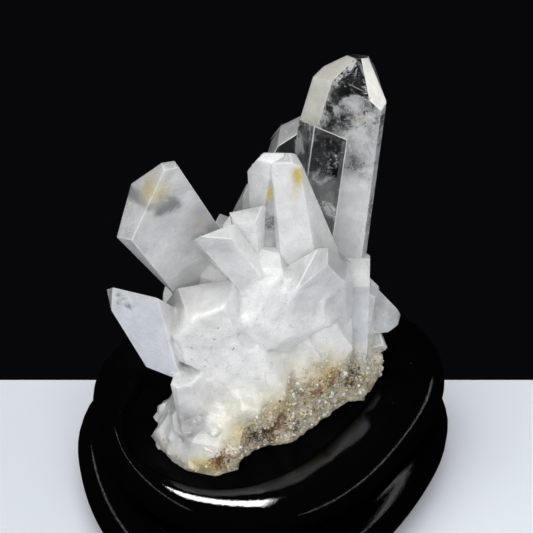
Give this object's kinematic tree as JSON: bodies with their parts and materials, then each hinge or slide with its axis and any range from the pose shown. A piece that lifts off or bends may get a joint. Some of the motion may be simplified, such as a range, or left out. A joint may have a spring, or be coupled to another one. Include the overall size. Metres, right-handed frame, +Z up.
{
  "type": "quartz crystal cluster on a stand",
  "caption": "Cluster of long clear and milky quartz points grown together on a rough crust, resting in the shallow recess of a low carved black lacquered wooden stand.",
  "frame": {"origin": "centre of the stand's flat underside", "axes": "+Z up along the tall points, -Y the front that faces the viewer, +X to the viewer's right"},
  "size_m": [0.134, 0.1286, 0.171],
  "materials": {
    "quartz": "natural crystal faces, clear at the tips and milky towards the base",
    "black_lacquer": "gloss black lacquer on carved wood"
  },
  "bodies": {
    "root": {"quartz_cluster": "quartz", "display_stand": "black_lacquer"}
  },
  "joints": []
}
